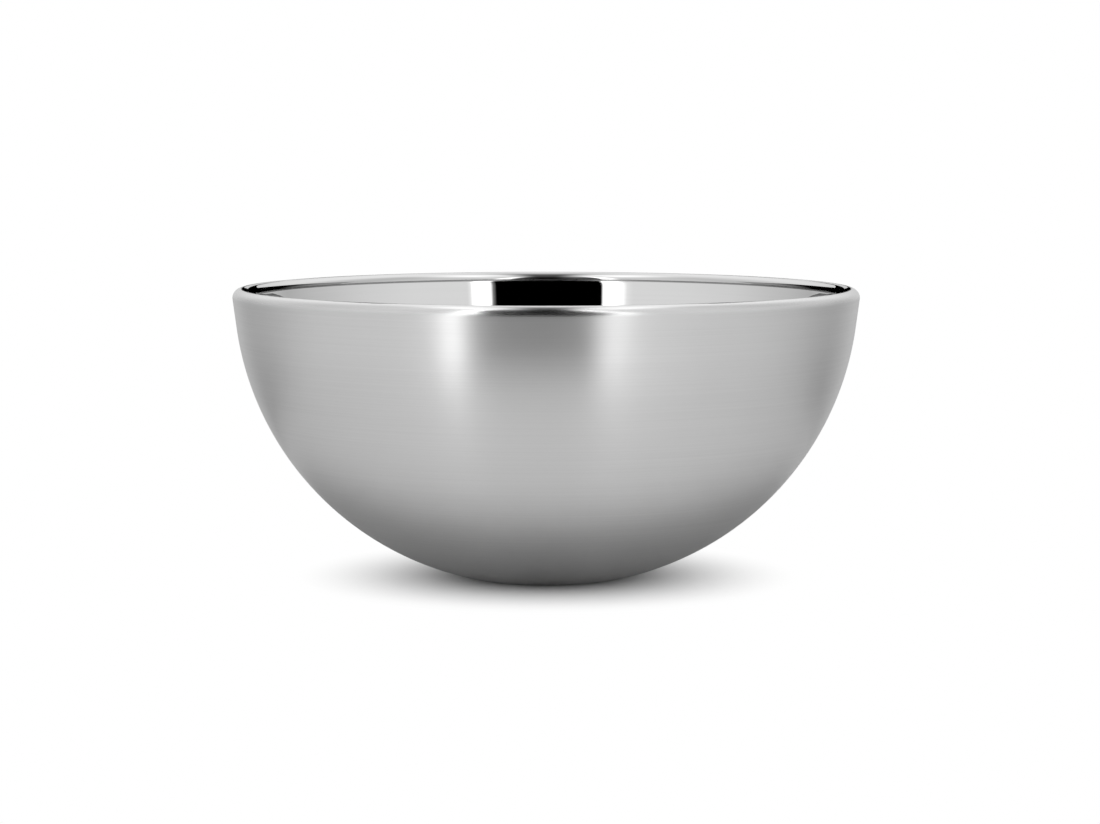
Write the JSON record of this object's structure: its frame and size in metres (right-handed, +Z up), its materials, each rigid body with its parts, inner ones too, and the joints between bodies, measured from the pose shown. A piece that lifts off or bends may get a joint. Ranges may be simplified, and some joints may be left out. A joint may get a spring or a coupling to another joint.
{
  "type": "salad bowl",
  "caption": "Round double-walled stainless steel salad bowl with a satin outside, a mirror-polished inside, a thick rounded rim and a small flat base.",
  "frame": {"origin": "centre of the flat base, at the level of the table", "axes": "+Z up along the bowl's axis, through the open mouth; X and Y lie in the table and are alike"},
  "size_m": [0.28, 0.28, 0.13],
  "materials": {
    "satin_steel": "satin",
    "mirror_steel": "polished",
    "ground_weld": "satin"
  },
  "bodies": {
    "root": {"outer_shell": "satin_steel", "inner_bowl": "mirror_steel", "rim_weld": "ground_weld"}
  },
  "joints": []
}
